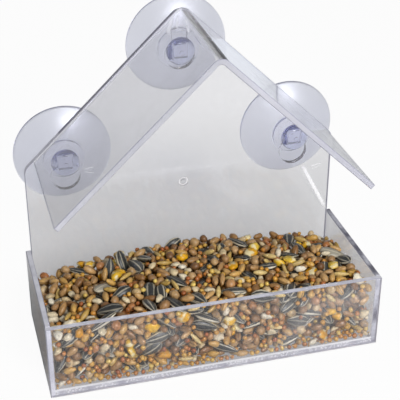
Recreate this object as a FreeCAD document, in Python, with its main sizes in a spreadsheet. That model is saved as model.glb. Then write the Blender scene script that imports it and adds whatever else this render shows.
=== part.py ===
"""Window bird feeder: a clear plastic house front with a seed tray and a bent roof sheet.

The back panel is a moulded house shape. A tray of four flat panels and a folded roof are glued to
it, and three soft suction cups hook into its keyholes and hold it to a window pane.

Millimetres. +Z is up, +Y points at the window and the tray's front faces -Y. The origin is the
centre of the tray's underside.
"""
import FreeCAD
import Part
import Sketcher
import os
import re

SIZES = {
    # Clear sheet: one thickness for every panel, and the width of its broken edges.
    "sheet_thickness": 2.5,
    "edge_break": 0.3,
    # Back panel: a house outline. apex_height is the gable's point before its corner is rounded.
    "panel_width": 150.0,
    "eave_height": 81.0,
    "apex_height": 153.5,
    "corner_radius": 6.0,
    # Gate mark: the ring that the mould leaves round the stub where the plastic came in.
    "gate_height": 65.0,
    "gate_ring_diameter": 4.6,
    "gate_stub_diameter": 2.2,
    "gate_ring_depth": 0.4,
    # Keyholes: a cup's head passes the round hole, and its shank slides up the slot to its seat.
    # The side seats are set from the panel's sides and eaves, and the top one from the gable's point.
    "head_gap": 0.35,
    "keyhole_drop": 7.7,
    "slot_gap": 0.3,
    "side_seat_inset": 20.0,
    "side_seat_rise": 1.0,
    "top_seat_drop": 17.3,
    # How far the top cup has slid down its slot from its seat. The side cups are on their seats.
    "top_cup_slip": 5.4,
    # Roof: one sheet folded over the gable, flush with the panel's slopes and short of its corners.
    "roof_depth": 62.5,
    "roof_inset": 4.5,
    "ridge_inner_radius": 2.0,
    # Tray: outer depth over back panel and front panel, and the height of its walls.
    "tray_depth": 66.5,
    "tray_height": 37.0,
    # Suction cup: everything is turned about its axis apart from the square shank.
    "cup_gap": 0.3,
    "shank_width": 6.5,
    "head_diameter": 13.0,
    "head_flat_diameter": 9.4,
    "head_height": 3.4,
    "head_rim": 1.0,
    "head_dome_radius": 3.2,
    "nub_diameter": 2.2,
    "nub_height": 0.5,
    "boss_diameter": 19.0,
    "boss_height": 1.8,
    "dish_diameter": 47.0,
    "dish_dome_radius": 30.0,
    "cup_height": 10.0,
    "hollow_depth": 7.0,
    "lip_width": 1.2,
    "lip_thickness": 0.9,
    "cup_edge_radius": 0.4,
    # Seed fill: how far it lies below the tray's rim at the side walls and on the centre line.
    "fill_gap": 0.3,
    "fill_front_side_drop": 8.2,
    "fill_front_crown_drop": 3.7,
    "fill_middle_side_drop": 9.7,
    "fill_middle_crown_drop": 2.2,
    "fill_back_side_drop": 16.2,
    "fill_back_crown_drop": 6.2,
}

# Planes that pieces share, as formulas on the sizes above.
PANEL_BACK = "tray_depth / 2"
PANEL_FRONT = "(tray_depth / 2 - sheet_thickness)"
FRONT_INSIDE = "(sheet_thickness - tray_depth / 2)"
TRAY_SIDE = "(panel_width / 2 + sheet_thickness)"
SLOPE = "((apex_height - eave_height) / (panel_width / 2))"
SLOPE_ANGLE = f"atan({SLOPE})"
SLOT_HALF = "(shank_width / 2 + slot_gap)"
HOLE_DIAMETER = "(head_diameter + 2 * head_gap)"
SIDE_SEAT_X = "(panel_width / 2 - side_seat_inset)"
SIDE_SEAT_Z = "(eave_height + side_seat_rise)"
TOP_SEAT_Z = "(apex_height - top_seat_drop)"

doc = FreeCAD.newDocument("window_bird_feeder")
sheet = doc.addObject("Spreadsheet::Sheet", "Sizes")
for row, (name, value) in enumerate(SIZES.items(), start=1):
    sheet.set(f"A{row}", name)
    sheet.set(f"B{row}", str(value))
    sheet.setAlias(f"B{row}", name)
doc.recompute()


def formula(text):
    """Turns size names in a formula into references to the sheet's cells."""
    return re.sub(r"[a-z_]+", lambda word: f"Sizes.{word[0]}" if word[0] in SIZES else word[0], text)


def number(text):
    """The present value of a formula."""
    return float(sheet.evalExpression(formula(text)))


def new_body(label, x="0", y="0", z="0"):
    """An empty body with its own label, placed by three formulas."""
    body = doc.addObject("PartDesign::Body", label)
    body.Label = label
    for axis, text in zip("xyz", (x, y, z)):
        body.setExpression(f"Placement.Base.{axis}", formula(text))
    return body


def new_sketch(body, plane, height="0"):
    """A sketch on one of the body's origin planes, moved along that plane's normal."""
    sketch = body.newObject("Sketcher::SketchObject", f"{body.Name}_sketch")
    support = next(item for item in body.Origin.OriginFeatures if item.Role == plane)
    sketch.AttachmentSupport = [(support, "")]
    sketch.MapMode = "FlatFace"
    sketch.setExpression("AttachmentOffset.Base.z", formula(height))
    return sketch


def constrain(sketch, kind, references, text):
    """Adds a dimension to a sketch and binds it to a formula."""
    index = sketch.addConstraint(Sketcher.Constraint(kind, *references, number(text)))
    sketch.setExpression(f"Constraints[{index}]", formula(text))


def pin(sketch, geometry, vertex, x, y):
    """Holds one vertex of a line, arc or circle at the point given by two formulas."""
    for kind, axis, text in (("DistanceX", -2, x), ("DistanceY", -1, y)):
        value = number(text)
        if abs(value) < 1e-9:
            sketch.addConstraint(Sketcher.Constraint("PointOnObject", geometry, vertex, axis))
        elif value > 0:
            constrain(sketch, kind, (-1, 1, geometry, vertex), text)
        else:
            constrain(sketch, kind, (geometry, vertex, -1, 1), f"-({text})")


def arc_through(start, end, radius):
    """An arc that turns left from start to end if the radius is positive, and right if negative."""
    chord = end - start
    half = chord.Length / 2
    rise = abs(radius) - (radius ** 2 - half ** 2) ** 0.5
    outward = FreeCAD.Vector(chord.y, -chord.x, 0).normalize()
    side = rise if radius > 0 else -rise
    return Part.Arc(start, (start + end) / 2 + outward * side, end)


def outline(sketch, corners, arcs=None):
    """Draws a closed outline through corners given as formulas, fully constrained.

    arcs maps the number of a segment to its radius formula. A leading minus turns it right.
    """
    arcs = arcs or {}
    points = [FreeCAD.Vector(number(x), number(y), 0) for x, y in corners]
    segments = []
    for index, start in enumerate(points):
        end = points[(index + 1) % len(points)]
        if index in arcs:
            shape = arc_through(start, end, number(arcs[index]))
        else:
            shape = Part.LineSegment(start, end)
        segments.append(sketch.addGeometry(shape, False))

    def vertex_at(segment, point):
        return 1 if (sketch.getPoint(segment, 1) - point).Length < 1e-6 else 2

    for index, point in enumerate(points):
        here, before = segments[index], segments[index - 1]
        ends = (before, vertex_at(before, point), here, vertex_at(here, point))
        sketch.addConstraint(Sketcher.Constraint("Coincident", *ends))
    for index, (x, y) in enumerate(corners):
        pin(sketch, segments[index], vertex_at(segments[index], points[index]), x, y)
    for index, radius in arcs.items():
        constrain(sketch, "Radius", (segments[index],), radius.lstrip("-"))


def circle(sketch, x, y, diameter):
    """Draws a circle about a centre given by formulas."""
    centre = FreeCAD.Vector(number(x), number(y), 0)
    shape = Part.Circle(centre, FreeCAD.Vector(0, 0, 1), number(diameter) / 2)
    index = sketch.addGeometry(shape, False)
    pin(sketch, index, 3, x, y)
    constrain(sketch, "Diameter", (index,), diameter)


def pad(body, sketch, length):
    """Raises a sketch along its plane's normal."""
    feature = body.newObject("PartDesign::Pad", f"{body.Name}_pad")
    feature.Profile = sketch
    feature.setExpression("Length", formula(length))
    doc.recompute()
    return feature


def pocket(body, sketch, depth=None):
    """Cuts a sketch into the body: to a depth against the plane's normal, or right through."""
    before = body.Shape.Volume
    feature = body.newObject("PartDesign::Pocket", f"{body.Name}_pocket")
    feature.Profile = sketch
    if depth is None:
        feature.Type = "ThroughAll"
        feature.Midplane = True
    else:
        feature.setExpression("Length", formula(depth))
    doc.recompute()
    if body.Shape.Volume > before - 1e-3:
        raise RuntimeError(f"{feature.Name} cut nothing")
    return feature


def revolve(body, sketch):
    """Turns a sketch once round its own vertical axis."""
    feature = body.newObject("PartDesign::Revolution", f"{body.Name}_turned")
    feature.Profile = sketch
    feature.ReferenceAxis = (sketch, ["V_Axis"])
    feature.Angle = 360
    doc.recompute()
    return feature


def soften(body, base, kind, size, chosen):
    """Fillets or chamfers the edges of a feature that a test chooses."""
    edges = [f"Edge{index}" for index, edge in enumerate(base.Shape.Edges, start=1) if chosen(edge)]
    feature = body.newObject(f"PartDesign::{kind}", f"{body.Name}_{kind.lower()}")
    feature.Base = (base, edges)
    feature.setExpression("Radius" if kind == "Fillet" else "Size", formula(size))
    doc.recompute()
    return feature


def along_y(edge):
    """True for an edge that runs front to back."""
    return edge.BoundBox.YLength > 1e-6 and edge.BoundBox.XLength + edge.BoundBox.ZLength < 1e-6


def across_y(edge):
    """True for an edge that lies in one upright plane, facing front or back."""
    return edge.BoundBox.YLength < 1e-6


def ring_at(edge, rings):
    """True for a full circle about the Y axis of one of the given diameters and places along it."""
    box = edge.BoundBox
    near = [abs(box.XLength - diameter) + abs(box.YMin - y) < 1e-3 for diameter, y in rings]
    return across_y(edge) and any(near)


# Back panel: a gabled house outline with rounded shoulders and apex, a gate mark on its front and
# three identical keyholes. Its front face lies on the body's own XZ plane.
def make_back_panel():
    body = new_body("back_panel", y=PANEL_FRONT)
    house = new_sketch(body, "XZ_Plane", "-sheet_thickness")
    half = "panel_width / 2"
    outline(house, [
        (f"-{half}", "0"),
        (half, "0"),
        (half, "eave_height"),
        ("0", "apex_height"),
        (f"-{half}", "eave_height"),
    ])
    plate = pad(body, house, "sheet_thickness")
    eave = number("eave_height")
    corners = soften(body, plate, "Fillet", "corner_radius",
                     lambda edge: along_y(edge) and edge.BoundBox.ZMin > eave - 1e-3)
    soften(body, corners, "Chamfer", "edge_break", across_y)
    for x, seat in ((f"-{SIDE_SEAT_X}", SIDE_SEAT_Z), (SIDE_SEAT_X, SIDE_SEAT_Z), ("0", TOP_SEAT_Z)):
        hole = new_sketch(body, "XZ_Plane")
        circle(hole, x, f"{seat} - keyhole_drop", HOLE_DIAMETER)
        pocket(body, hole)
        slot = new_sketch(body, "XZ_Plane")
        low, high = f"{seat} - keyhole_drop", f"{seat} + {SLOT_HALF}"
        left, right = f"{x} - {SLOT_HALF}", f"{x} + {SLOT_HALF}"
        outline(slot, [(left, low), (right, low), (right, high), (left, high)])
        pocket(body, slot)
    gate = new_sketch(body, "XZ_Plane")
    circle(gate, "0", "gate_height", "gate_ring_diameter")
    circle(gate, "0", "gate_height", "gate_stub_diameter")
    pocket(body, gate, "gate_ring_depth")
    return body


# Roof: one clear sheet folded along the ridge. Its outer faces carry on the panel's slopes, and its
# eaves are cut square to the sheet, short of the panel's shoulders.
def make_roof():
    body = new_body("roof", y=PANEL_FRONT)
    fold = new_sketch(body, "XZ_Plane")
    eave_x = "(panel_width / 2 - roof_inset)"
    eave_z = f"(apex_height - {SLOPE} * {eave_x})"
    inner_x = f"({eave_x} - sheet_thickness * sin({SLOPE_ANGLE}))"
    inner_z = f"({eave_z} - sheet_thickness * cos({SLOPE_ANGLE}))"
    under_ridge = f"apex_height - sheet_thickness / cos({SLOPE_ANGLE})"
    outline(fold, [
        (eave_x, eave_z),
        ("0", "apex_height"),
        (f"-{eave_x}", eave_z),
        (f"-{inner_x}", inner_z),
        ("0", under_ridge),
        (inner_x, inner_z),
    ])
    sheet_pad = pad(body, fold, "roof_depth")
    middle = (number("apex_height") + number(under_ridge)) / 2

    def on_ridge(edge):
        return along_y(edge) and abs(edge.BoundBox.XMin) < 1e-3

    outside = soften(body, sheet_pad, "Fillet", "ridge_inner_radius + sheet_thickness",
                     lambda edge: on_ridge(edge) and edge.BoundBox.ZMin > middle)
    inside = soften(body, outside, "Fillet", "ridge_inner_radius", on_ridge)
    soften(body, inside, "Chamfer", "edge_break", across_y)
    return body


# Tray panels: four flat rectangles of clear sheet with broken edges. The front panel covers the ends
# of the side walls, which cover the edges of the back panel, and the floor lies between them all.
def make_flat_panel(label, low, high):
    """A flat panel between two corners, each given as three formulas."""
    body = new_body(label, *low)
    face = new_sketch(body, "XY_Plane")
    length, width, height = (f"({top}) - ({bottom})" for top, bottom in zip(high, low))
    outline(face, [("0", "0"), (length, "0"), (length, width), ("0", width)])
    plate = pad(body, face, height)
    soften(body, plate, "Chamfer", "edge_break", lambda edge: True)
    return body


def make_tray():
    half = "panel_width / 2"
    front = "-tray_depth / 2"
    return [
        make_flat_panel("tray_floor",
                        (f"-{half}", FRONT_INSIDE, "0"),
                        (half, PANEL_FRONT, "sheet_thickness")),
        make_flat_panel("tray_left_wall",
                        (f"-{TRAY_SIDE}", FRONT_INSIDE, "0"),
                        (f"-{half}", PANEL_BACK, "tray_height")),
        make_flat_panel("tray_right_wall",
                        (half, FRONT_INSIDE, "0"),
                        (TRAY_SIDE, PANEL_BACK, "tray_height")),
        make_flat_panel("tray_front_panel",
                        (f"-{TRAY_SIDE}", front, "0"),
                        (TRAY_SIDE, FRONT_INSIDE, "tray_height")),
    ]


# Suction cup: soft clear plastic in one piece. A domed dish with a flat lip, a round boss against the
# panel, a square shank that can't turn in the slot, and a domed head with a moulding nub. Its edges are
# rounded, apart from the lip's face. The body's own Y axis is the cup's axis, with the panel's back
# face at zero.
def make_cup(label, x, z):
    body = new_body(label, x, PANEL_BACK, z)
    dish = new_sketch(body, "XY_Plane")
    lip_inside = "(dish_diameter / 2 - lip_width)"
    hollow_radius = f"({lip_inside}^2 + hollow_depth^2) / (2 * hollow_depth)"
    outline(dish, [
        ("0", "cup_gap"),
        ("boss_diameter / 2", "cup_gap"),
        ("boss_diameter / 2", "cup_gap + boss_height"),
        ("dish_diameter / 2", "cup_height - lip_thickness"),
        ("dish_diameter / 2", "cup_height"),
        (lip_inside, "cup_height"),
        ("0", "cup_height - hollow_depth"),
    ], {2: "dish_dome_radius", 5: f"-{hollow_radius}"})
    turned = revolve(body, dish)
    round_edges = [(number("boss_diameter"), number("cup_gap")),
                   (number("dish_diameter"), number("cup_height - lip_thickness"))]
    soften(body, turned, "Fillet", "cup_edge_radius", lambda edge: ring_at(edge, round_edges))

    shank = new_sketch(body, "XZ_Plane", "-cup_gap - boss_height / 2")
    half = "shank_width / 2"
    outline(shank, [(f"-{half}", f"-{half}"), (half, f"-{half}"), (half, half), (f"-{half}", half)])
    head_back = "(sheet_thickness + cup_gap)"
    pad(body, shank, f"cup_gap + boss_height / 2 + {head_back} + head_rim")

    head = new_sketch(body, "XY_Plane")
    outline(head, [
        ("0", f"-{head_back}"),
        ("0", f"-{head_back} - head_height"),
        ("head_flat_diameter / 2", f"-{head_back} - head_height"),
        ("head_diameter / 2", f"-{head_back} - head_rim"),
        ("head_diameter / 2", f"-{head_back}"),
    ], {2: "head_dome_radius"})
    turned = revolve(body, head)
    rim = [(number("head_diameter"), number(f"-{head_back}"))]
    soften(body, turned, "Fillet", "cup_edge_radius",
           lambda edge: along_y(edge) or ring_at(edge, rim))

    nub = new_sketch(body, "XZ_Plane", f"{head_back} + head_height")
    circle(nub, "0", "0", "nub_diameter")
    pad(body, nub, "nub_height")
    return body


def make_cups():
    return [
        make_cup("suction_cup_left", f"-{SIDE_SEAT_X}", SIDE_SEAT_Z),
        make_cup("suction_cup_right", SIDE_SEAT_X, SIDE_SEAT_Z),
        make_cup("suction_cup_top", "0", f"{TOP_SEAT_Z} - top_cup_slip"),
    ]


# Seed fill: one closed heap over the tray floor, crowned along the middle and lower towards the back
# corners, lofted through three upright sections with an arc on top.
def make_seed_mix():
    body = new_body("seed_mix", y=PANEL_FRONT, z="sheet_thickness + fill_gap")
    half = "(panel_width / 2 - fill_gap)"
    inner_depth = "(tray_depth - 2 * sheet_thickness)"
    rim = "tray_height - sheet_thickness - fill_gap"
    stations = {
        "back": "fill_gap",
        "middle": f"{inner_depth} / 2",
        "front": f"{inner_depth} - fill_gap",
    }
    sections = []
    for place, depth in stations.items():
        section = new_sketch(body, "XZ_Plane", depth)
        side = f"({rim} - fill_{place}_side_drop)"
        rise = f"(fill_{place}_side_drop - fill_{place}_crown_drop)"
        top_radius = f"({half}^2 + {rise}^2) / (2 * {rise})"
        corners = [(f"-{half}", "0"), (half, "0"), (half, side), (f"-{half}", side)]
        outline(section, corners, {2: top_radius})
        sections.append(section)
    heap = body.newObject("PartDesign::AdditiveLoft", "seed_mix_heap")
    heap.Profile = sections[0]
    heap.Sections = sections[1:]
    doc.recompute()
    return body


pieces = [make_back_panel(), make_roof(), *make_tray(), *make_cups(), make_seed_mix()]
doc.recompute()

for item in doc.Objects:
    if "Invalid" in item.State or "Error" in item.State:
        raise RuntimeError(f"{item.Name} failed: {item.State}")
for piece in pieces:
    if piece.Shape.isNull() or not piece.Shape.isValid() or len(piece.Shape.Solids) != 1:
        raise RuntimeError(f"{piece.Label} is not one valid solid")

os.makedirs("parts", exist_ok=True)
for piece in pieces:
    piece.Shape.exportStep(os.path.join("parts", f"{piece.Label}.step"))
    box = piece.Shape.optimalBoundingBox(False)
    print(f"{piece.Label}: {piece.Shape.Volume / 1000:.2f} cm3, x {box.XMin:.2f} to {box.XMax:.2f}, "
          f"y {box.YMin:.2f} to {box.YMax:.2f}, z {box.ZMin:.2f} to {box.ZMax:.2f}")
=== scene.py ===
import math

import bmesh
import bpy
import numpy as np
from mathutils import Matrix, Vector
from mathutils.bvhtree import BVHTree


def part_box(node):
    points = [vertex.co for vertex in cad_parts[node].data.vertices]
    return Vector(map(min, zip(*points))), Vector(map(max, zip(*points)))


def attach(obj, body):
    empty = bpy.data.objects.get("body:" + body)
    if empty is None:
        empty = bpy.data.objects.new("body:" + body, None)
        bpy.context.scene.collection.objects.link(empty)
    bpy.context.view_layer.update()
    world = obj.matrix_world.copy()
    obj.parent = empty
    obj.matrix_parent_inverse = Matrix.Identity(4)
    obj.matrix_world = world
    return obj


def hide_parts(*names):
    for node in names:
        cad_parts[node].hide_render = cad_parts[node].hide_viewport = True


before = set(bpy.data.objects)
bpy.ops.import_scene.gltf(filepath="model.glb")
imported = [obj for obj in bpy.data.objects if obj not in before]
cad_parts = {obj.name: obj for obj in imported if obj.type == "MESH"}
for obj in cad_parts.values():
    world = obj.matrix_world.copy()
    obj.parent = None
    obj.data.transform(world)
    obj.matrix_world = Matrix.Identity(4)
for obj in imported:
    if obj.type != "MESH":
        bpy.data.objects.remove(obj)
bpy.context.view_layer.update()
MM = 0.001

# Clear sheet: the back panel, the roof and the four tray panels are cut from one polished clear
# plastic, 2.5 mm thick, and welded with solvent. The faces are clear and faintly grey, the sawn edges
# are pale and hazy, and the solvent has left bubbles and white lines where the pieces meet.
SHEET_TINT = (0.94, 0.94, 0.955, 1)
ROOF_TINT = (0.887, 0.890, 0.918, 1)
# Painted light on the roof's right slope, brightest near the slope's top.
ROOF_PAINTED_LIGHT_TOP = (0.985, 0.99, 1.0, 1)
ROOF_PAINTED_LIGHT_LOW = (0.90, 0.915, 0.96, 1)
SHEET_DEPTH_COLOUR = (0.62, 0.62, 0.72, 1)
SHEET_DENSITY = 4.0
EDGE_PALE = (0.78, 0.78, 0.85, 1)
EDGE_DULL = (0.60, 0.60, 0.67, 1)
# Painted shade along the rims of the sawn edges.
EDGE_RIM_SHADE = (0.36, 0.36, 0.44, 1)
WELD_GREY = (0.13, 0.125, 0.17, 1)
WELD_STAIN = (0.27, 0.265, 0.33, 1)
WELD_WHITE = (0.90, 0.90, 0.92, 1)
# A painted dark reflection along the roof's bend.
BEND_REFLECTION_GREY = (0.05, 0.05, 0.06, 1)
PLASTIC_IOR = 1.49
# How far a normal points along a panel's axis on its broad faces and on the broken rims beside them,
# and how much of a sawn edge is hazy.
FACE_TURN = 0.9
RIM_TURN = 0.4
EDGE_COVER = 0.94


class Socket:
    """A shader socket. Arithmetic on it adds Math nodes, and node() adds a node of any other kind."""

    def __init__(self, tree, output=None):
        self.tree = tree
        self.output = output

    def node(self, kind, settings=None, inputs=None, output=0):
        made = self.tree.nodes.new(f"ShaderNode{kind}")
        for name, value in (settings or {}).items():
            if name == "stops":
                ramp = made.color_ramp.elements
                while len(ramp) < len(value):
                    ramp.new(1.0)
                for element, (place, colour) in zip(ramp, value):
                    element.position = place
                    element.color = colour
            else:
                setattr(made, name, value)
        for name, value in (inputs or {}).items():
            if isinstance(value, Socket):
                self.tree.links.new(value.output, made.inputs[name])
            else:
                made.inputs[name].default_value = value
        return Socket(self.tree, made.outputs[output] if len(made.outputs) else None)

    def math(self, operation, *values):
        return self.node("Math", {"operation": operation}, dict(enumerate(values)))

    def __add__(self, other):
        return self.math("ADD", self, other)

    def __radd__(self, other):
        return self.math("ADD", other, self)

    def __sub__(self, other):
        return self.math("SUBTRACT", self, other)

    def __rsub__(self, other):
        return self.math("SUBTRACT", other, self)

    def __mul__(self, other):
        return self.math("MULTIPLY", self, other)

    def __rmul__(self, other):
        return self.math("MULTIPLY", other, self)

    def __abs__(self):
        return self.math("ABSOLUTE", self)

    def __gt__(self, other):
        return self.math("GREATER_THAN", self, other)

    def __lt__(self, other):
        return self.math("LESS_THAN", self, other)


def new_material(name):
    """An empty material and a socket to start its nodes from."""
    material = bpy.data.materials.new(name)
    material.use_nodes = True
    material.node_tree.nodes.clear()
    return material, Socket(material.node_tree)


def split(shade, vector):
    """A vector's three parts."""
    return [shade.node("SeparateXYZ", None, {0: vector}, output=axis) for axis in "XYZ"]


def rise(shade, value, low, high):
    """0 below low and 1 above high, with a soft step between."""
    return shade.node("MapRange", {"interpolation_type": "SMOOTHSTEP"}, {"Value": value, 1: low, 2: high})


def blend(shade, share, first, second, mode="MIX"):
    """Mixes two colours."""
    settings = {"data_type": "RGBA", "blend_type": mode}
    return shade.node("Mix", settings, {0: share, 6: first, 7: second}, output=2)


def most(shade, first, *others):
    """The highest of some values."""
    for other in others:
        first = shade.math("MAXIMUM", first, other)
    return first


def smears(shade, place):
    """Where a sheet's polish is worn by wiping."""
    smear = shade.node("TexNoise", None, {"Vector": place, "Scale": 45.0, "Detail": 4.0})
    return shade.node("MapRange", None, {"Value": smear, 1: 0.40, 2: 0.70})


def clear_plastic(name, tint, depth_colour, density, polish, bump, shine, matt, haze=None, tone=None):
    """Clear plastic that bends and mirrors light, darkens with depth, and lets lamplight through. polish
    holds its least and greatest roughness, matt says where it is rough, and shine how strongly it
    mirrors. haze gives the share of the surface that isn't clear, and that share's colour, and tone
    a tint that changes over the surface."""
    material, shade = new_material(name)
    place = shade.node("TexCoord", output="Object")
    ripple = shade.node("TexNoise", None, {"Vector": place, "Scale": 60.0, "Detail": 1.0})
    surface_normal = shade.node("Bump", None, {"Strength": bump, "Distance": 1 * MM, "Height": ripple})
    smooth, rough = polish
    surface = shade.node("BsdfPrincipled", None, {
        "Base Color": tone(shade, place) if tone else tint,
        "Roughness": matt(shade, place) * (rough - smooth) + smooth,
        "IOR": PLASTIC_IOR,
        "Specular IOR Level": shine,
        "Transmission Weight": 1.0,
        "Normal": surface_normal,
    })
    if haze:
        share, colour = haze(shade, place)
        cloudy = shade.node("BsdfPrincipled", None, {
            "Base Color": colour,
            "Roughness": 0.3,
            "IOR": PLASTIC_IOR,
        })
        surface = shade.node("MixShader", None, {0: share, 1: surface, 2: cloudy})
    let_through = shade.node("BsdfTransparent", None, {"Color": tint})
    shadow = shade.node("LightPath", output="Is Shadow Ray")
    bounced = shade.node("LightPath", output="Is Diffuse Ray")
    surface = shade.node("MixShader", None, {0: most(shade, shadow, bounced), 1: surface, 2: let_through})
    depth = shade.node("VolumeAbsorption", None, {"Color": depth_colour, "Density": density})
    shade.node("OutputMaterial", None, {"Surface": surface, "Volume": depth})
    return material


def edge_colour(shade, place, rim, pale=EDGE_PALE, dull=EDGE_DULL):
    """The colour of a sawn edge: pale, with duller patches, and painted shade along its two rims."""
    patch = shade.node("TexNoise", None, {"Vector": place, "Scale": 120.0, "Detail": 5.0})
    return blend(shade, rim, blend(shade, rise(shade, patch, 0.38, 0.66), pale, dull), EDGE_RIM_SHADE)


def bubbles(shade, place):
    """Where solvent has left small white bubbles in a weld."""
    clumps = shade.node("TexNoise", None, {"Vector": place, "Scale": 160.0, "Detail": 3.0})
    beads = shade.node("TexVoronoi", None, {"Vector": place, "Scale": 900.0})
    return 0.3 + 0.6 * rise(shade, clumps, 0.34, 0.54) * (1 - 0.7 * rise(shade, beads, 0.25, 0.6))


def dust(shade, place):
    """A thin film of seed dust and fine wiping marks on a face."""
    film = shade.node("TexNoise", None, {"Vector": place, "Scale": 30.0, "Detail": 6.0, "Roughness": 0.7})
    cloud = shade.node("TexNoise", None, {"Vector": place, "Scale": 22.0, "Detail": 1.0, "Distortion": 0.8})
    return 0.012 + 0.05 * rise(shade, film, 0.42, 0.75) + 0.06 * rise(shade, cloud, 0.50, 0.72)


def stroke(shade, x, z, start, end, half_width):
    """A soft straight mark on an upright panel between two places, in millimetres."""
    way = np.subtract(end, start)
    length = float(np.hypot(*way))
    way_x, way_z = (float(part) / length for part in way)
    from_x, from_z = x - start[0] * MM, z - start[1] * MM
    along = from_x * way_x + from_z * way_z
    across = abs(from_x * way_z - from_z * way_x)
    middle = abs(along - length / 2 * MM)
    ends = 1 - rise(shade, middle, length * 0.3 * MM, length * 0.52 * MM)
    return ends * (1 - rise(shade, across, half_width * 0.3 * MM, half_width * MM))


# Lengths on the panels and the roof are in millimetres.
FACE_DEPTH = 0.2
BEAD_RISE = 0.25
BEAD_HALF_HEIGHT = 0.5
FLOOR_TOP = 2.5
FRONT_INSIDE = -30.75
NO_WELD = 200.0


def panel_haze(axis, inner, weld_foot, weld_side, pale=EDGE_PALE, dull=EDGE_DULL):
    """The sawn edges of a flat panel whose broad faces point along an axis, its welds and its dust. The
    face at inner, in millimetres, meets the tray floor below weld_foot, with a white bead of solvent
    along the floor's top, and other panels beyond weld_side from the middle."""
    across = "XYZ".index(axis)

    def haze(shade, place):
        facing = split(shade, shade.node("TexCoord", output="Normal"))[across]
        x, y, z = split(shade, place)
        edge = abs(facing) < FACE_TURN
        rim = edge * (abs(facing) > RIM_TURN)
        welded = (1 - edge) * (abs((x, y, z)[across] - inner * MM) < FACE_DEPTH * MM)
        seam = most(shade, z < weld_foot * MM, (abs(x) > weld_side * MM) * 0.5)
        bead = abs(z - (weld_foot + BEAD_RISE) * MM) < BEAD_HALF_HEIGHT * MM
        spots = welded * most(shade, seam * bubbles(shade, place), bead * 0.8)
        colour = blend(shade, edge, WELD_WHITE, edge_colour(shade, place, rim, pale, dull))
        return most(shade, edge * EDGE_COVER, spots, dust(shade, place)), colour
    return haze


PANEL_HALF_WIDTH = 75.0
PANEL_MIDDLE_DEPTH = 31.6
GABLE_HEIGHT = 153.5
GABLE_SLOPE = 0.9667
STAIN_END = -58.0
GATE_HEIGHT = 65.0
GATE_RING = (1.7, 2.3)
# Each mark's two ends across and up the panel, half its width in millimetres, and how white it is.
# The long diagonal across the right side is a painted reflection, and the streaks under the gable's
# point are painted highlights where solvent has run.
PANEL_MARKS_AND_HIGHLIGHTS = [
    ((-47.0, 77.0), (-41.5, 77.5), 0.25, 0.8),
    ((-46.7, 75.6), (-41.6, 74.4), 0.25, 0.7),
    ((-45.5, 76.3), (-42.5, 76.2), 0.18, 0.6),
    ((64.5, 64.2), (70.4, 65.4), 0.25, 0.8),
    ((65.0, 63.2), (69.0, 63.6), 0.18, 0.5),
    # A painted reflection band across the right side.
    ((59.6, 66.8), (74.6, 38.2), 1.3, 0.95),
    # Painted highlights under the gable's point, where solvent has run.
    ((-8.2, 146.4), (-2.0, 150.0), 1.0, 0.9),
    ((-5.6, 138.5), (-3.4, 147.0), 1.3, 0.75),
    ((-1.4, 140.5), (-0.8, 147.5), 0.8, 0.5),
    ((4.2, 138.0), (2.6, 146.0), 0.9, 0.7),
]


def back_panel_haze(shade, place):
    """The back panel's outer edges, dust and marks. The keyholes' edges are moulded and stay clear. The
    left slope's weld has darkened the edge, white crazing runs out from two keyholes, a painted
    reflection crosses the right side, painted highlights streak down under the gable's point where
    solvent has run, and the gate left a ring."""
    nx, ny, nz = split(shade, shade.node("TexCoord", output="Normal"))
    x, y, z = split(shade, place)
    below_slope = GABLE_HEIGHT * MM - GABLE_SLOPE * abs(x) - z
    inside = (abs(x) < (PANEL_HALF_WIDTH - 1) * MM) * (below_slope > 2 * MM) * (z > 1 * MM)
    edge = (abs(ny) < FACE_TURN) * (1 - inside)
    rim = edge * (abs(ny) > RIM_TURN)
    stained = (nx < -RIM_TURN) * (nz > RIM_TURN) * (x > STAIN_END * MM)
    share = most(shade, edge * EDGE_COVER, dust(shade, place))
    front = (y < PANEL_MIDDLE_DEPTH * MM) * (abs(ny) > FACE_TURN)
    for start, end, half_width, strength in PANEL_MARKS_AND_HIGHLIGHTS:
        share = most(shade, share, stroke(shade, x, z, start, end, half_width) * front * strength)
    up = z - GATE_HEIGHT * MM
    from_gate = shade.math("SQRT", x * x + up * up)
    ring = (from_gate > GATE_RING[0] * MM) * (from_gate < GATE_RING[1] * MM) * front
    share = most(shade, share, ring * 0.6)
    colour = blend(shade, edge, WELD_WHITE, edge_colour(shade, place, rim))
    return share, blend(shade, stained, colour, WELD_STAIN)


# How far the right slope's normal points out and up, and where along the roof its marks lie.
ROOF_OUT, ROOF_UP = 0.695, 0.719
EAVE_START = 60.0
FOLD_START = 0.7
FOLD_TURN = (0.74, 0.80)
SOLVENT_START = 29.7
WHITE_SOLVENT_FADE = (-52.0, -40.0)
# Where the painted light on the right slope fades, across the roof.
PAINTED_LIGHT_FADE = (22.0, 42.0)
# Painted highlights along the roof's sawn edges: paler near the eaves and just right of the apex.
ROOF_EDGE_HIGHLIGHT_STOPS = [
    (0.04, (0.50, 0.50, 0.55, 1)),
    (0.20, (0.405, 0.405, 0.445, 1)),
    (0.50, (0.42, 0.42, 0.46, 1)),
    (0.60, (0.51, 0.51, 0.56, 1)),
    (0.72, (0.45, 0.45, 0.50, 1)),
    (0.95, (0.46, 0.46, 0.52, 1)),
]


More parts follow.
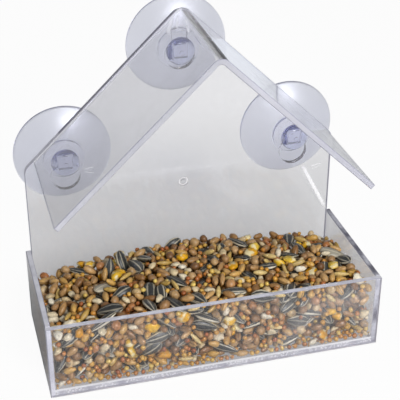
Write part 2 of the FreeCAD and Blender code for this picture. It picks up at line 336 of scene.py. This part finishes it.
def roof_haze(shade, place):
    """The roof's sawn edges, its fold and the white line of solvent along the left slope's back. The sawn
    edges are painted paler towards the eaves and just right of the apex, as painted highlights, and a
    painted dark reflection runs along the bend."""
    nx, ny, nz = split(shade, shade.node("TexCoord", output="Normal"))
    x, y = split(shade, place)[:2]
    cut = abs(ny) > RIM_TURN
    side = shade.math("SIGN", x)
    eave = (abs(nx * side * ROOF_UP - nz * ROOF_OUT) > 0.7) * (abs(x) > EAVE_START * MM)
    edge = most(shade, cut, eave)
    rim = cut * (abs(ny) < FACE_TURN)
    solvent = (y > SOLVENT_START * MM) * (x < 0.0)
    white_end = 1 - 0.7 * rise(shade, x, *(end * MM for end in WHITE_SOLVENT_FADE))
    line = solvent * (nx < -0.3) * (nz > 0.3) * white_end
    # A painted dark reflection along the bend's right side, fading towards the back.
    fold_reflection = rise(shade, nz, *FOLD_TURN) * (x > FOLD_START * MM) * (0.80 - 14.0 * y)
    along = x * (0.5 / (PANEL_HALF_WIDTH * MM)) + 0.5
    # pale carries the painted highlights along the sawn edges.
    pale = shade.node("ValToRGB", {"stops": ROOF_EDGE_HIGHLIGHT_STOPS}, {0: along})
    dull = blend(shade, 0.2, pale, EDGE_RIM_SHADE)
    sawn = blend(shade, solvent, edge_colour(shade, place, rim, pale, dull), EDGE_PALE)
    colour = blend(shade, edge * (1 - solvent * white_end), WELD_WHITE, sawn)
    colour = blend(shade, fold_reflection, colour, BEND_REFLECTION_GREY)
    share = most(shade, edge * EDGE_COVER, fold_reflection * 0.55, line * 0.9)
    return most(shade, share, dust(shade, place)), colour


def roof_painted_light(shade, place):
    """The roof's tint: grey over the left slope, with painted light over the right one that is brightest
    near its top.
    """
    x = split(shade, place)[0]
    down = rise(shade, x, *(end * MM for end in PAINTED_LIGHT_FADE))
    return blend(shade, x > FOLD_START * MM, ROOF_TINT, blend(shade, down, ROOF_PAINTED_LIGHT_TOP, ROOF_PAINTED_LIGHT_LOW))


def dress(node, material):
    """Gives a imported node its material."""
    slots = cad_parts[node].data.materials
    slots.clear()
    slots.append(material)


SHEET_HAZE = {
    "back_panel": back_panel_haze,
    "roof": roof_haze,
    # The tray floor's sawn edges take the painted rim shade for their duller patches.
    "tray_floor": panel_haze("Z", NO_WELD, 0, NO_WELD, EDGE_DULL, EDGE_RIM_SHADE),
    "tray_left_wall": panel_haze("X", -PANEL_HALF_WIDTH, FLOOR_TOP, NO_WELD),
    "tray_right_wall": panel_haze("X", PANEL_HALF_WIDTH, FLOOR_TOP, NO_WELD, EDGE_DULL, WELD_GREY),
    "tray_front_panel": panel_haze("Y", FRONT_INSIDE, FLOOR_TOP, PANEL_HALF_WIDTH),
}
SHEET_POLISH = (0.0, 0.03)
SHEET_BUMP = 0.02
SHEET_SHINE = 0.5
for node, haze in SHEET_HAZE.items():
    tint, tone = (ROOF_TINT, roof_painted_light) if node == "roof" else (SHEET_TINT, None)
    sheet = clear_plastic(
        f"clear_{node}", tint, SHEET_DEPTH_COLOUR, SHEET_DENSITY, SHEET_POLISH, SHEET_BUMP, SHEET_SHINE,
        smears, haze, tone)
    dress(node, sheet)

# Suction cups: soft clear vinyl with a faint violet tint, each moulded in one piece. The square shank
# goes through the panel's keyhole, and the head in front of it keeps the cup on the panel.
CUP_NODES = ("suction_cup_left", "suction_cup_right", "suction_cup_top")
CUP_TINT = (0.89, 0.905, 0.96, 1)
CUP_DEPTH_COLOUR = (0.51, 0.53, 0.80, 1)
CUP_DENSITY = 70.0
CUP_POLISH = (0.12, 0.32)
CUP_BUMP = 0.05
CUP_SHINE = 0.04
POLISHED_RADIUS, MATT_RADIUS = 8.0, 11.0


def matt_dish(corners):
    """Rougher away from the axis of a cup with these corners: only its head and boss are polished."""
    middle = (corners.min(axis=0) + corners.max(axis=0)) / 2

    def matt(shade, place):
        x, _, z = split(shade, place)
        across, up = x - float(middle[0]), z - float(middle[2])
        radius = shade.math("SQRT", across * across + up * up)
        return rise(shade, radius, POLISHED_RADIUS * MM, MATT_RADIUS * MM)
    return matt


for node in CUP_NODES:
    vinyl = clear_plastic(
        f"clear_{node}", CUP_TINT, CUP_DEPTH_COLOUR, CUP_DENSITY, CUP_POLISH, CUP_BUMP, CUP_SHINE,
        matt_dish(np.array(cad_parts[node].bound_box)))
    dress(node, vinyl)

# Seed mix: thousands of loose grains poured over the tray floor, which fill the heap that the packed
# node stands for. Each kind is one piece. The grains are dropped one by one: each tries a number of
# places and turns over the lowest part of the heap, and stays where it comes to rest lowest.
SEED_RANDOM = np.random.default_rng(11)
HEAP_LOW, HEAP_HIGH = (np.array(corner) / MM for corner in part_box("seed_mix"))
CELL_COUNT = np.array([37, 15])
CELL = (HEAP_HIGH - HEAP_LOW)[:2] / CELL_COUNT
MOST_GRAINS = 9000
# Lengths in millimetres: the foot is the row of small grains along the panels, and the bed is the
# heap's lowest layer. A ball's volume is BALL_VOLUME times its radius cubed.
FOOT_GRAINS = 1500
FOOT_HEIGHT = 2.4
BED_DEPTH = 4.0
BED_PACKING = 1.1
PACKING = 0.62
BALL_VOLUME = 4.2
HEAP_PROUD = 1.5
LEAST_ROOM = 0.6
CELLS_TRIED = 8
FRONT_CELLS_TRIED = 6
CELLS_NEAR = 3
BALLS_KEPT = 10
TRIES = 24
DROP_SPREAD = 3.0
DROP_TILT = 0.35
NUDGE_SPREAD = 1.0
NUDGE_YAW = 0.3
NUDGE_TILT = 0.25


def heap_heights():
    """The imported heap's height over a grid of square cells, in millimetres."""
    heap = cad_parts["seed_mix"]
    tree = BVHTree.FromObject(heap, bpy.context.evaluated_depsgraph_get())
    heights = np.zeros(CELL_COUNT)
    for i, j in np.ndindex(*CELL_COUNT):
        x, y = (HEAP_LOW[:2] + (np.array([i, j]) + 0.5) * CELL) * MM
        hit = tree.ray_cast(Vector((x, y, 1)), Vector((0, 0, -1)))
        heights[i, j] = hit[0].z / MM
    return heights


class Kind:
    """One kind of grain: its share of the mix along the panels' foot, low and high in the heap, the balls
    that it fills, by place along it and radius, how much it varies in size, and whether it is flat."""

    def __init__(self, name, foot_share, low_share, high_share, balls, spread, flat):
        self.name = name
        self.shares = (foot_share, low_share, high_share)
        self.along = np.array([place for place, radius in balls])
        self.radius = np.array([radius for place, radius in balls])
        self.spread = spread
        self.flat = flat
        self.places = []


KINDS = [
    Kind("sunflower", 0.0, 0.10, 0.15, [(-4.2, 1.6), (-1.6, 2.1), (1.2, 1.9), (4.0, 1.1)], 0.10, True),
    Kind("wheat", 0.12, 0.22, 0.33, [(-1.4, 1.65), (1.4, 1.65)], 0.10, False),
    Kind("sorghum", 0.10, 0.19, 0.24, [(0, 2.2)], 0.12, False),
    Kind("oat", 0.02, 0.07, 0.07, [(-2.3, 0.95), (0, 1.25), (2.3, 0.95)], 0.12, False),
    Kind("millet", 0.60, 1.00, 0.02, [(0, 1.2)], 0.10, False),
    Kind("maize", 0.0, 0.04, 0.06, [(-1.1, 2.1), (1.2, 2.0)], 0.15, True),
    Kind("hulled", 0.10, 0.09, 0.09, [(-0.9, 1.5), (1.0, 1.4)], 0.20, True),
    Kind("crumb", 0.0, 0.0, 0.0, [(0, 0.7)], 0.30, False),
]


def turned_axes(yaw, tilt):
    """Unit vectors along grains that lie at these compass directions and slopes."""
    return np.stack([np.cos(tilt) * np.cos(yaw), np.cos(tilt) * np.sin(yaw), np.sin(tilt)], axis=-1)


def rest_heights(middle, axis, kind, scale, below):
    """Where the middles of trial grains come to rest on the balls below them."""
    offset = axis[:, None, :] * (kind.along * scale)[None, :, None]
    radius = kind.radius * scale
    low = HEAP_LOW[:2] + (radius[None, :, None] - offset[:, :, :2]).max(axis=1)
    high = HEAP_HIGH[:2] - (radius[None, :, None] + offset[:, :, :2]).max(axis=1)
    middle = np.clip(middle, low, high)
    height = HEAP_LOW[2] + (radius - offset[:, :, 2]).max(axis=1)
    if len(below):
        ball = middle[:, None, :] + offset[:, :, :2]
        gap = ((ball[:, :, None, :] - below[None, None, :, :2]) ** 2).sum(axis=-1)
        reach = (radius[:, None] + below[None, :, 3]) ** 2
        overlap = reach[None] - gap
        lift = below[None, None, :, 2] + np.sqrt(np.maximum(overlap, 0)) - offset[:, :, 2, None]
        height = np.maximum(height, np.where(overlap > 0, lift, -np.inf).max(axis=(1, 2)))
    return middle, height, offset


def next_cell(room, foot):
    """The cell for the next grain: one beside a panel, or the emptiest of a few. None if they are full."""
    across, deep = room.shape
    cells = SEED_RANDOM.integers(0, (across, deep), size=(CELLS_TRIED, 2))
    if foot:
        cells[:FRONT_CELLS_TRIED, 1] = 0
        cells[FRONT_CELLS_TRIED:, 0] = SEED_RANDOM.choice([0, across - 1], CELLS_TRIED - FRONT_CELLS_TRIED)
    depth = room[cells[:, 0], cells[:, 1]]
    cell = cells[SEED_RANDOM.integers(CELLS_TRIED) if foot else depth.argmax()]
    return None if depth.max() < LEAST_ROOM else cell


def next_kind(number, filled):
    """The next grain's kind: small ones and then crumbs along the foot, and above it the low mix, which
    turns into the high one as the heap fills."""
    foot_share, low_share, high_share = np.array([kind.shares for kind in KINDS]).T
    foot = number < FOOT_GRAINS
    weights = foot_share if foot else high_share + (low_share - high_share) * (1 - filled) ** 2
    kind = KINDS[np.searchsorted(np.cumsum(weights / weights.sum()), SEED_RANDOM.random())]
    return KINDS[-1] if foot and number > FOOT_GRAINS / 2 else kind


def settle(i, j, kind, scale, below, foot):
    """A grain's middle, its axis and its balls where it comes to rest lowest over a cell. Along the foot
    it stays against its panel."""
    middle = HEAP_LOW[:2] + (np.array([i, j]) + 0.5) * CELL
    middle = middle + SEED_RANDOM.uniform(-DROP_SPREAD, DROP_SPREAD, (TRIES, 2))
    if foot:
        wall = 1 if j == 0 else 0
        middle[:, wall] = HEAP_LOW[wall] if (i, j)[wall] == 0 else HEAP_HIGH[wall]
    yaw = SEED_RANDOM.uniform(0, 2 * np.pi, TRIES)
    tilt = SEED_RANDOM.normal(0, DROP_TILT, TRIES)
    middle, height, offset = rest_heights(middle, turned_axes(yaw, tilt), kind, scale, below)
    best = height.argmin()
    nudge = SEED_RANDOM.uniform(-NUDGE_SPREAD, NUDGE_SPREAD, (TRIES, 2)) * (not foot)
    yaw = yaw[best] + SEED_RANDOM.normal(0, NUDGE_YAW, TRIES)
    tilt = tilt[best] + SEED_RANDOM.normal(0, NUDGE_TILT, TRIES)
    axis = turned_axes(yaw, tilt)
    middle, height, offset = rest_heights(middle[best] + nudge, axis, kind, scale, below)
    best = height.argmin()
    where = np.array([*middle[best], height[best]])
    return where, axis[best], where + offset[best]


def pour():
    """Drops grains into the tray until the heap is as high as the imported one."""
    goal = heap_heights()
    tops = np.full(goal.shape, HEAP_LOW[2])
    held = [[[] for _ in range(goal.shape[1])] for _ in range(goal.shape[0])]
    for number in range(MOST_GRAINS):
        foot = number < FOOT_GRAINS
        cell = next_cell(goal - tops, foot)
        if cell is None:
            continue
        i, j = cell
        kind = next_kind(number, ((tops - HEAP_LOW[2]) / (goal - HEAP_LOW[2])).mean())
        scale = 1 + kind.spread * SEED_RANDOM.uniform(-1, 1)
        columns = held[max(i - CELLS_NEAR, 0):i + CELLS_NEAR + 1]
        cells = [near for column in columns for near in column[max(j - CELLS_NEAR, 0):j + CELLS_NEAR + 1]]
        below = np.array([ball for near in cells for ball in near[-BALLS_KEPT:]])
        where, axis, balls = settle(i, j, kind, scale, below, foot)
        if where[2] > (HEAP_LOW[2] + FOOT_HEIGHT if foot else goal[i, j] + HEAP_PROUD):
            continue
        kind.places.append((where, axis, scale))
        for ball, radius in zip(balls, kind.radius * scale):
            a, b = np.clip(((ball[:2] - HEAP_LOW[:2]) / CELL).astype(int), 0, CELL_COUNT - 1)
            held[a][b].append((*ball, radius))
            packing = BED_PACKING if tops[a, b] < HEAP_LOW[2] + BED_DEPTH else PACKING
            tops[a, b] += BALL_VOLUME * radius ** 3 / (CELL.prod() * packing)


def seed_shape(name, segments, rings, size, waist, lumps=0.05):
    """A smooth grain along Z. size is its half width, half thickness and half length in millimetres,
    waist gives its fullness at each point from -1 to 1 along it, and lumps how uneven drying left it."""
    bm = bmesh.new()
    bmesh.ops.create_uvsphere(bm, u_segments=segments, v_segments=rings, radius=1)
    for vert in bm.verts:
        fullness = waist(vert.co.z) * (1 + lumps * SEED_RANDOM.uniform(-1, 1))
        vert.co.x *= fullness
        vert.co.y *= fullness
    return finish_shape(name, bm, size)


SPLIT_DEPTH = (0.45, 0.7)
LEAST_SPLIT = 0.08


def chip_shape(name, size, cuts):
    """A broken piece of kernel: a rough ball with flat faces where it split."""
    bm = bmesh.new()
    bmesh.ops.create_icosphere(bm, subdivisions=1, radius=1)
    for _ in range(cuts):
        way = Vector(SEED_RANDOM.normal(0, 1, 3)).normalized()
        geometry = bm.verts[:] + bm.edges[:] + bm.faces[:]
        place = way * SEED_RANDOM.uniform(*SPLIT_DEPTH)
        bmesh.ops.bisect_plane(bm, geom=geometry, plane_co=place, plane_no=way, clear_outer=True)
        open_edges = [edge for edge in bm.edges if edge.is_boundary]
        bmesh.ops.holes_fill(bm, edges=open_edges, sides=0)
    bmesh.ops.remove_doubles(bm, verts=bm.verts, dist=LEAST_SPLIT)
    return finish_shape(name, bm, size)


FACE_ORDER = Vector((1, 10, 100))


def finish_shape(name, bm, size):
    """Scales a grain to its size and keeps how far each point lies along and across it. A new sphere's
    faces come in a different order in each run, so they are sorted by their places."""
    local = [tuple(vert.co) for vert in bm.verts]
    bmesh.ops.scale(bm, vec=Vector(size) * MM, verts=bm.verts)
    bmesh.ops.recalc_face_normals(bm, faces=bm.faces)
    bm.faces.sort(key=lambda face: face.calc_center_median().dot(FACE_ORDER))
    mesh = bpy.data.meshes.new(name)
    bm.to_mesh(mesh)
    bm.free()
    return mesh, np.array(local)


FLAT_ROLL = 0.45
WALL_REACH = 3.2
WALL_LEAN = 0.45
WALL_ROLL = 0.4


def grain_matrix(where, axis, scale, flat):
    """Puts a grain along its axis, a flat one with its broad side to the wall beside it or up."""
    along = Vector(axis)
    facing, roll = Vector((0, 0, 1)), SEED_RANDOM.normal(0, FLAT_ROLL)
    room = np.array([HEAP_HIGH[0] - abs(where[0]), HEAP_HIGH[1] - abs(where[1])])
    side = room.argmin()
    if flat and room[side] < WALL_REACH and abs(axis[side]) < WALL_LEAN:
        facing = Vector((1, 0, 0)) if side == 0 else Vector((0, 1, 0))
        roll *= WALL_ROLL
    if not flat:
        roll = SEED_RANDOM.uniform(0, 2 * np.pi)
    thick = (facing - along * facing.dot(along)).normalized()
    thick.rotate(Matrix.Rotation(roll, 3, along))
    wide = thick.cross(along)
    turn = Matrix((wide, thick, along)).transposed().to_4x4()
    return Matrix.Translation(Vector(where) * MM) @ turn @ Matrix.Scale(scale, 4)


def inside_tray(mesh):
    """How far a grain is pushed back where it would reach into the tray's panels or floor."""
    points = np.array([vert.co for vert in mesh.vertices]) / MM
    push = np.maximum(HEAP_LOW - points.min(axis=0), 0)
    push[:2] -= np.maximum(points.max(axis=0) - HEAP_HIGH, 0)[:2]
    return Vector(push * MM)


def lay_grains(kind, shapes, material):
    """One piece with every grain of a kind, with each grain's own tone and its points' places."""
    bm = bmesh.new()
    tones, local = [], []
    for number, (where, axis, scale) in enumerate(kind.places):
        shape, points = shapes[number % len(shapes)]
        copy = shape.copy()
        copy.transform(grain_matrix(where, axis, scale, kind.flat))
        copy.transform(Matrix.Translation(inside_tray(copy)))
        bm.from_mesh(copy)
        bpy.data.meshes.remove(copy)
        tones.append(np.full(len(points), SEED_RANDOM.random()))
        local.append(points)
    mesh = bpy.data.meshes.new(f"{kind.name}_seeds")
    bm.to_mesh(mesh)
    bm.free()
    tone = mesh.attributes.new("tone", "FLOAT", "POINT")
    tone.data.foreach_set("value", np.concatenate(tones).astype(np.float32))
    place = mesh.attributes.new("grain_place", "FLOAT_VECTOR", "POINT")
    place.data.foreach_set("vector", np.concatenate(local).astype(np.float32).ravel())
    mesh.polygons.foreach_set("use_smooth", np.ones(len(mesh.polygons), bool))
    mesh.materials.append(material)
    piece = bpy.data.objects.new(f"{kind.name}_seeds", mesh)
    bpy.context.scene.collection.objects.link(piece)
    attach(piece, "feeder")
    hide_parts("seed_mix")


def start_coat(name):
    """A new seed material with its grain's tone, its place along and round the grain, and noise."""
    material, shade = new_material(name)
    tone = shade.node("Attribute", {"attribute_name": "tone"}, output="Fac")
    axes = split(shade, shade.node("Attribute", {"attribute_name": "grain_place"}, output="Vector"))
    place = shade.node("TexCoord", output="Object")
    mottle = shade.node("TexNoise", None, {"Vector": place, "Scale": 900.0, "Detail": 3.0})
    return material, shade, tone, axes, mottle


def end_coat(shade, colour, roughness, relief, depth):
    """Ends a seed material: a dry, slightly glossy husk with a relief."""
    normal = shade.node("Bump", None, {"Strength": 0.6, "Distance": depth * MM, "Height": relief})
    husk = shade.node("BsdfPrincipled", None, {
        "Base Color": colour,
        "Roughness": roughness,
        "IOR": 1.5,
        "Normal": normal,
    })
    shade.node("OutputMaterial", None, {"Surface": husk})


HUSK_BLACK = (0.017, 0.018, 0.018, 1)
HUSK_GREY = (0.060, 0.061, 0.058, 1)
HUSK_PALE = (0.36, 0.33, 0.26, 1)
HUSK_CREAM = (0.62, 0.56, 0.42, 1)
# Painted shade in a grain's crease.
CREASE_SHADE_BROWN = (0.14, 0.060, 0.020, 1)
SPOT_BROWN = (0.07, 0.035, 0.016, 1)


def sunflower_coat():
    """Charcoal husk with cream rims and thin lines from end to end. Some husks are pale between them."""
    material, shade, tone, (x, y, _), mottle = start_coat("sunflower_husk")
    angle = shade.math("ARCTAN2", y, x)
    rims = rise(shade, shade.math("COSINE", angle * 2.0) + mottle * 0.25, 0.86, 1.02)
    wave = shade.math("COSINE", angle * 6.0 + tone * 2.4) + mottle * 0.6
    lines = rise(shade, wave, 0.90, 1.20) * rise(shade, tone, -0.3, 0.7)
    dark = blend(shade, tone, HUSK_BLACK, HUSK_GREY)
    husk = blend(shade, rise(shade, tone, 0.92, 0.94), dark, HUSK_PALE)
    colour = blend(shade, most(shade, rims, lines * 0.8), husk, HUSK_CREAM)
    end_coat(shade, colour, 0.38, lines * 0.5 + mottle, 0.08)
    return material


def grain_coat(name, stops, roughness, crease=0.0, spot=0.0, patch=None):
    """A grain's skin in a range of tones, with a crease along it painted dark as shade, a dark spot at one
    end or patches.
    """
    material, shade, tone, (x, y, z), mottle = start_coat(name)
    skin = shade.node("ValToRGB", {"stops": stops}, {0: tone})
    cloud = shade.node("MapRange", None, {"Value": mottle, 1: 0.3, 2: 0.7, 3: 0.70, 4: 1.20})
    grey = shade.node("CombineColor", None, {0: cloud, 1: cloud, 2: cloud})
    skin = blend(shade, 1.0, skin, grey, "MULTIPLY")
    relief = mottle
    if crease:
        groove = shade.math("SMOOTH_MIN", abs(x) * 4.0, 1.0, 0.2)
        # The crease is painted dark brown as shade, and pressed in as relief.
        groove_and_shade = (1 - groove) * (y > 0.0) * crease
        skin = blend(shade, groove_and_shade, skin, CREASE_SHADE_BROWN)
        relief = relief - groove_and_shade
    if spot:
        tip = rise(shade, z, 0.72, 0.98) * spot
        skin = blend(shade, tip, skin, SPOT_BROWN)
    if patch:
        place = shade.node("TexCoord", output="Object")
        cream = shade.node("TexNoise", None, {"Vector": place, "Scale": 260.0, "Detail": 1.0})
        skin = blend(shade, rise(shade, cream, 0.50, 0.62), skin, patch)
    end_coat(shade, skin, roughness, relief, 0.12)
    return material


pour()
sunflower, wheat, sorghum, oat, millet, maize, hulled, crumb = KINDS
lay_grains(sunflower, [
    seed_shape("sunflower_broad", 8, 7, (3.0, 1.5, 6.5), lambda t: 1.04 - 0.36 * t - 0.10 * t * t),
    seed_shape("sunflower_slim", 8, 7, (2.45, 1.4, 7.0), lambda t: 1.02 - 0.34 * t - 0.10 * t * t),
    seed_shape("sunflower_short", 8, 7, (3.0, 1.65, 5.8), lambda t: 1.05 - 0.30 * t - 0.14 * t * t),
], sunflower_coat())
lay_grains(wheat, [
    seed_shape("wheat_plump", 8, 6, (1.85, 1.7, 3.15), lambda t: 1.0 - 0.12 * t, 0.1),
    seed_shape("wheat_slim", 8, 6, (1.6, 1.45, 3.5), lambda t: 1.0 + 0.05 * t - 0.10 * t * t, 0.1),
    seed_shape("wheat_bent", 8, 6, (1.75, 1.55, 3.0), lambda t: 1.0 - 0.20 * t + 0.06 * t * t, 0.1),
], grain_coat("wheat_skin", [
    (0.0, (0.20, 0.088, 0.025, 1)),
    (0.35, (0.38, 0.203, 0.072, 1)),
    (0.7, (0.55, 0.335, 0.140, 1)),
    (1.0, (0.64, 0.370, 0.080, 1)),
], 0.42, crease=0.8))
lay_grains(sorghum, [
    seed_shape("sorghum_round", 8, 6, (2.25, 2.05, 2.2), lambda t: 1.0 + 0.04 * t, 0.11),
    seed_shape("sorghum_oval", 8, 6, (2.15, 1.95, 2.55), lambda t: 1.0 - 0.12 * t, 0.11),
    seed_shape("sorghum_dented", 8, 6, (2.35, 1.8, 2.35), lambda t: 0.96 + 0.10 * t * t, 0.11),
], grain_coat("sorghum_skin", [
    (0.0, (0.16, 0.072, 0.026, 1)),
    (0.3, (0.35, 0.192, 0.078, 1)),
    (0.62, (0.52, 0.332, 0.152, 1)),
    (0.80, (0.40, 0.130, 0.032, 1)),
    (0.90, (0.60, 0.410, 0.190, 1)),
    (1.0, (0.68, 0.510, 0.290, 1)),
], 0.40, spot=0.7))
lay_grains(oat, [
    seed_shape("oat_long", 6, 6, (1.25, 1.1, 3.9), lambda t: 1.0 - 0.14 * t - 0.2 * t * t, 0.07),
    seed_shape("oat_short", 6, 6, (1.35, 1.2, 3.3), lambda t: 1.0 - 0.08 * t - 0.15 * t * t, 0.07),
], grain_coat("oat_husk", [
    (0.0, (0.46, 0.280, 0.060, 1)),
    (0.5, (0.63, 0.430, 0.130, 1)),
    (1.0, (0.73, 0.570, 0.260, 1)),
], 0.42, crease=0.5))
lay_grains(millet, [
    seed_shape("millet_round", 6, 5, (1.25, 1.15, 1.25), lambda t: 1.0),
], grain_coat("millet_skin", [
    (0.0, (0.36, 0.100, 0.026, 1)),
    (0.35, (0.54, 0.220, 0.038, 1)),
    (0.7, (0.66, 0.350, 0.052, 1)),
    (1.0, (0.76, 0.560, 0.150, 1)),
], 0.32, spot=0.6))
lay_grains(maize, [
    chip_shape(f"maize_chip_{number}", (3.1, 2.0, 3.7), 4) for number in range(4)
], grain_coat("maize_flesh", [
    (0.0, (0.70, 0.300, 0.006, 1)),
    (0.5, (0.84, 0.470, 0.012, 1)),
    (1.0, (0.86, 0.580, 0.060, 1)),
], 0.32, patch=(0.86, 0.74, 0.42, 1)))
lay_grains(hulled, [
    chip_shape(f"hulled_chip_{number}", (2.3, 1.5, 3.1), 4) for number in range(4)
], grain_coat("hulled_kernel", [
    (0.0, (0.58, 0.420, 0.210, 1)),
    (0.4, (0.74, 0.610, 0.380, 1)),
    (1.0, (0.86, 0.790, 0.630, 1)),
], 0.5))
lay_grains(crumb, [
    chip_shape(f"broken_chip_{number}", (0.75, 0.7, 0.8), 3) for number in range(4)
], grain_coat("crumb_flesh", [
    (0.0, (0.26, 0.120, 0.036, 1)),
    (0.5, (0.52, 0.300, 0.100, 1)),
    (1.0, (0.70, 0.520, 0.280, 1)),
], 0.5))

# Floor and light: a pale paper sweep, painted darker near the feeder as a painted shadow, under a soft
# lamp above the front, a weak low one in front and another behind. The paper shows white behind the
# feeder, and through the plastic and in its reflections it shows paler than the lamps alone would make it.
FLOOR_RADIUS = 2.5
FLOOR_DROP = 0.3
PAPER_PALE = (0.95, 0.95, 0.95, 1)
MIRRORED_WHITE = (0.86, 0.90, 1.0, 1)
bm = bmesh.new()
bmesh.ops.create_circle(bm, cap_ends=True, segments=96, radius=FLOOR_RADIUS)
bmesh.ops.translate(bm, verts=bm.verts, vec=(0, 0, -FLOOR_DROP * MM))
floor_mesh = bpy.data.meshes.new("floor")
bm.to_mesh(floor_mesh)
bm.free()
floor = bpy.data.objects.new("floor", floor_mesh)
bpy.context.scene.collection.objects.link(floor)
pale, shade = new_material("pale_floor")
place = shade.node("TexCoord", output="Object")
reach = shade.node("VectorMath", {"operation": "LENGTH"}, {0: place}, output="Value")
# The sweep's colour is painted darker near the feeder: a painted shadow.
painted_shadow_sweep = shade.node("ValToRGB", {"stops": [
    (0.16, (0.34, 0.325, 0.30, 1)),
    (0.40, (0.80, 0.80, 0.80, 1)),
    (0.85, (0.95, 0.95, 0.96, 1)),
]}, {0: reach * 3.3})
camera_ray = shade.node("LightPath", output="Is Camera Ray")
painted_shadow_sweep = blend(shade, camera_ray, painted_shadow_sweep, PAPER_PALE)
paper = shade.node("BsdfPrincipled", None, {"Base Color": painted_shadow_sweep, "Roughness": 0.8})
glossy_ray = shade.node("LightPath", output="Is Glossy Ray")
through_ray = shade.node("LightPath", output="Is Transmission Ray")
mirror_ray = glossy_ray * (1 - through_ray)
white = shade.node("Emission", None, {
    "Color": blend(shade, mirror_ray, (1, 1, 1, 1), MIRRORED_WHITE),
    "Strength": 1.0,
})
# How white the paper glows through the plastic and in a reflection, by the distance from the feeder:
# painted light, dimmer near the feeder as a painted shadow.
behind = (0.33 + 0.33 * rise(shade, reach, 0.10, 0.30)) * through_ray
far_off = 0.30 * rise(shade, reach, 0.12, 0.50) + 0.54 * rise(shade, reach, 0.38, 0.46)
mirrored = (0.04 + far_off) * mirror_ray
glow = camera_ray * 0.95 + (1 - camera_ray) * most(shade, behind, mirrored)
surface = shade.node("MixShader", None, {0: glow, 1: paper, 2: white})
shade.node("OutputMaterial", None, {"Surface": surface})
floor_mesh.materials.append(pale)

world = bpy.data.worlds.new("studio")
bpy.context.scene.world = world
world.use_nodes = True
world.node_tree.nodes.clear()
shade = Socket(world.node_tree)
camera_ray = shade.node("LightPath", output="Is Camera Ray")
glossy_ray = shade.node("LightPath", output="Is Glossy Ray")
through_ray = shade.node("LightPath", output="Is Transmission Ray")
seen = most(shade, glossy_ray, through_ray)
strength = 0.15 + 0.22 * seen * (1 - camera_ray) + 0.85 * camera_ray
sky = shade.node("Background", None, {"Color": (1, 1, 1, 1), "Strength": strength})
shade.node("OutputWorld", None, {"Surface": sky})


def soft_lamp(name, place, aim, size, watts, mirrored):
    """A round softbox turned to a point. It doesn't show through plastic, and one that isn't mirrored
    shows in no reflection either."""
    lamp = bpy.data.lights.new(name, "AREA")
    lamp.shape = "DISK"
    lamp.size = size
    lamp.energy = watts
    holder = bpy.data.objects.new(name, lamp)
    holder.location = place
    holder.visible_glossy = mirrored
    holder.visible_transmission = False
    holder.rotation_euler = (Vector(aim) - Vector(place)).to_track_quat("-Z", "Y").to_euler()
    bpy.context.scene.collection.objects.link(holder)


soft_lamp("key_softbox", (0.20, -0.76, 0.54), (0, 0, 0.06), size=0.30, watts=6.8, mirrored=True)
soft_lamp("front_softbox", (-0.05, -0.90, 0.16), (0, 0, 0.03), size=0.30, watts=1.6, mirrored=False)
soft_lamp("back_softbox", (-0.5, 0.6, 0.7), (0, 0, 0.06), size=0.5, watts=1.5, mirrored=False)

# Camera: a long lens in front of the feeder, a little to its left and above it. Its place and lens were
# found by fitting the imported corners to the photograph.
CAMERA_AIM = Vector((0, 0.00075, 0.07094))
CAMERA_DISTANCE = 0.4876
LENS = 96.8
CLEAR_BOUNCES = 40
azimuth, elevation = math.radians(-15.26), math.radians(29.34)
back_way = Vector((
    math.sin(azimuth) * math.cos(elevation),
    -math.cos(azimuth) * math.cos(elevation),
    math.sin(elevation),
))
camera = bpy.data.objects.new("camera", bpy.data.cameras.new("camera"))
camera.data.sensor_width = 36.0
camera.data.lens = LENS
camera.location = CAMERA_AIM + back_way * CAMERA_DISTANCE
camera.rotation_euler = (-back_way).to_track_quat("-Z", "Y").to_euler()
bpy.context.scene.collection.objects.link(camera)
bpy.context.scene.camera = camera
bpy.context.scene.view_settings.view_transform = "Standard"
bpy.context.scene.cycles.transparent_max_bounces = 24
bpy.context.scene.cycles.transmission_bounces = CLEAR_BOUNCES
bpy.context.scene.cycles.glossy_bounces = CLEAR_BOUNCES
bpy.context.scene.cycles.max_bounces = CLEAR_BOUNCES
